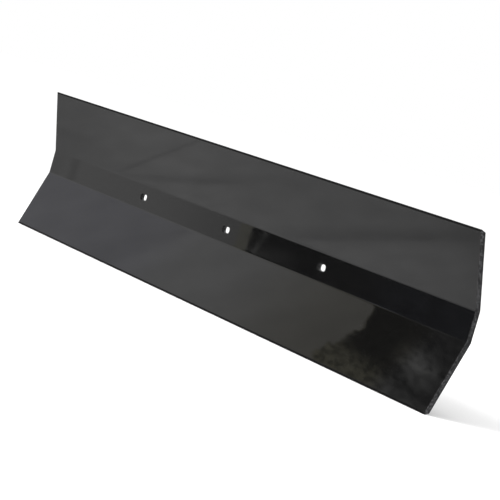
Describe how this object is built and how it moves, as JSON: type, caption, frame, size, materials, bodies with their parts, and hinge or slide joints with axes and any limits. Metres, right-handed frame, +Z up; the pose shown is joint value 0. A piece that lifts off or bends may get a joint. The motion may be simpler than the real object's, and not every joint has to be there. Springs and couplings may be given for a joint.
{
  "type": "atv plow blade",
  "caption": "Long narrow plow blade: one thick steel plate bent lengthwise into a shallow dish, with slotted holes along its middle flat for bolting to a plow frame.",
  "frame": {"origin": "centre of the middle slot, on the rear face of the middle flat, which seats on the plow frame", "axes": "+X along the blade, +Y to the rear, out of the mounting face and away from the snow, +Z up; the middle flat is vertical"},
  "size_m": [1.2192, 0.0345, 0.2141],
  "materials": {
    "gloss_paint": "gloss black paint on bent steel plate"
  },
  "bodies": {
    "root": {"blade_plate": "gloss_paint"}
  },
  "joints": []
}
